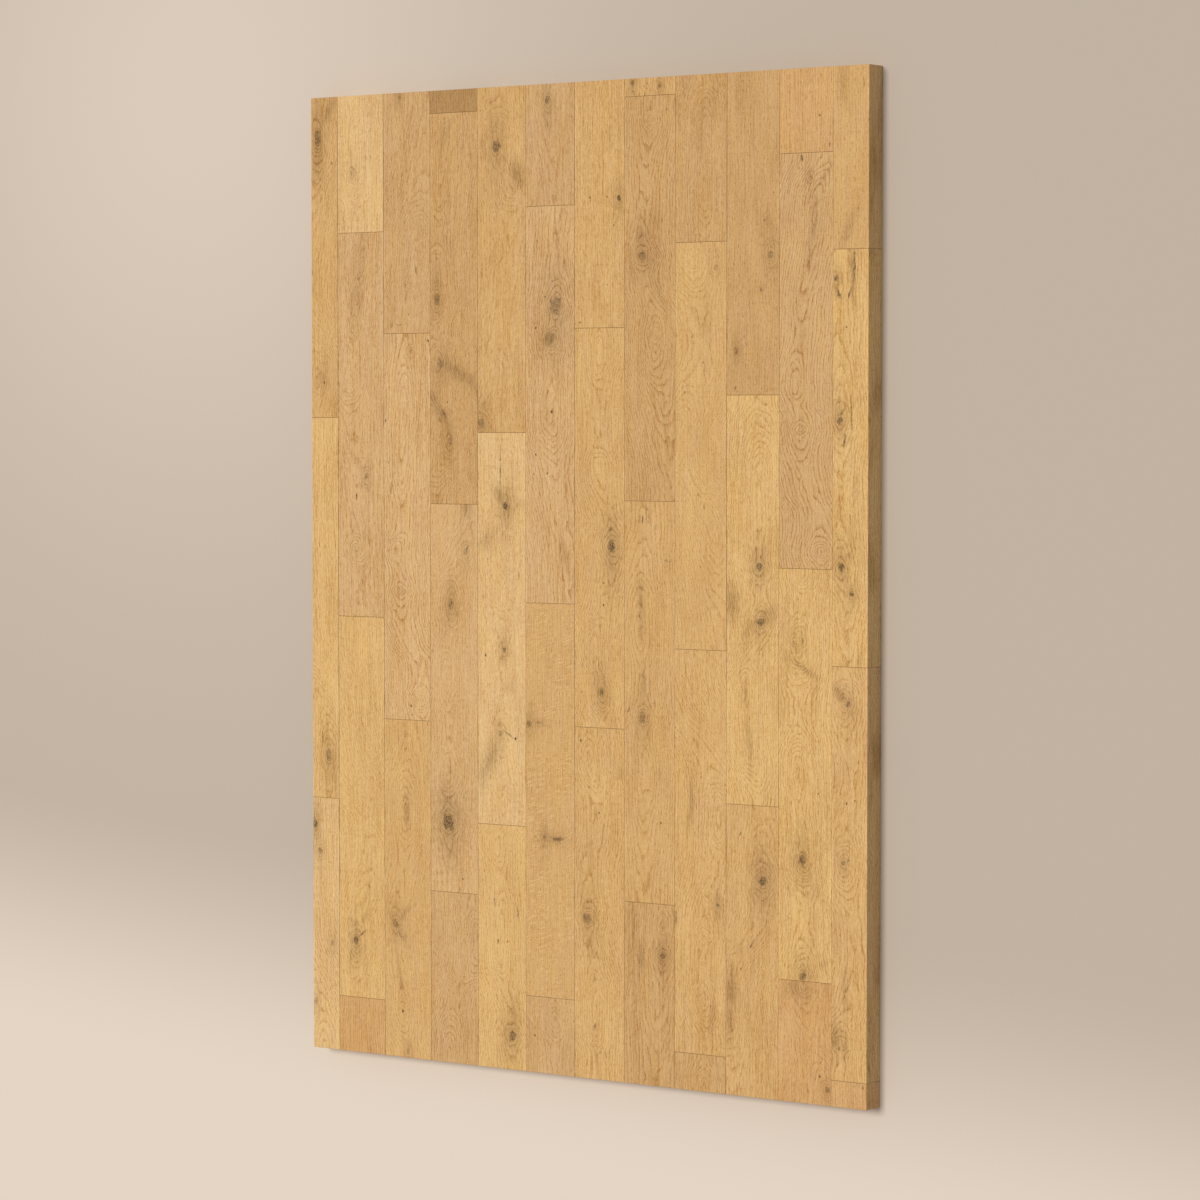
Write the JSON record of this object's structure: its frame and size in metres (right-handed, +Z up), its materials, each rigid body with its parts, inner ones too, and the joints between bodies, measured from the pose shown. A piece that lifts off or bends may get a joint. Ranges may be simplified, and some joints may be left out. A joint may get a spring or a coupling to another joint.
{
  "type": "parquet floorboard",
  "caption": "Square-edged oak parquet floor panel of tongue-and-groove strips in staggered rows, knotty rustic face, laid flat and glued or screwed to a subfloor.",
  "frame": {"origin": "middle of the panel's underside", "axes": "+X across the rows, towards the row ripped to 36 mm; +Y along the strips, towards the picture's top edge; +Z up, out of the wear face"},
  "size_m": [0.618, 0.9, 0.022],
  "materials": {
    "oak_amber": "satin oiled oak",
    "oak_gold": "satin oiled oak",
    "oak_honey": "satin oiled oak",
    "oak_rose": "satin oiled oak",
    "oak_straw": "satin oiled oak",
    "oak_tan": "satin oiled oak",
    "oak_umber": "satin oiled oak"
  },
  "bodies": {
    "root": {"row_01_strip_1": "oak_honey", "row_01_strip_2": "oak_gold", "row_01_strip_3": "oak_straw", "row_02_strip_1": "oak_straw", "row_02_strip_2": "oak_tan", "row_02_strip_3": "oak_honey", "row_02_strip_4": "oak_amber", "row_03_strip_1": "oak_gold", "row_03_strip_2": "oak_tan", "row_03_strip_3": "oak_honey", "row_04_strip_1": "oak_umber", "row_04_strip_2": "oak_tan", "row_04_strip_3": "oak_rose", "row_04_strip_4": "oak_rose", "row_05_strip_1": "oak_honey", "row_05_strip_2": "oak_straw", "row_05_strip_3": "oak_gold", "row_06_strip_1": "oak_tan", "row_06_strip_2": "oak_tan", "row_06_strip_3": "oak_amber", "row_06_strip_4": "oak_rose", "row_07_strip_1": "oak_straw", "row_07_strip_2": "oak_gold", "row_07_strip_3": "oak_gold", "row_08_strip_1": "oak_gold", "row_08_strip_2": "oak_amber", "row_08_strip_3": "oak_honey", "row_08_strip_4": "oak_amber", "row_09_strip_1": "oak_honey", "row_09_strip_2": "oak_tan", "row_09_strip_3": "oak_gold", "row_09_strip_4": "oak_honey", "row_10_strip_1": "oak_honey", "row_10_strip_2": "oak_gold", "row_10_strip_3": "oak_amber", "row_11_strip_1": "oak_honey", "row_11_strip_2": "oak_tan", "row_11_strip_3": "oak_straw", "row_11_strip_4": "oak_amber", "row_12_strip_1": "oak_amber", "row_12_strip_2": "oak_honey", "row_12_strip_3": "oak_gold", "row_12_strip_4": "oak_honey"}
  },
  "joints": []
}
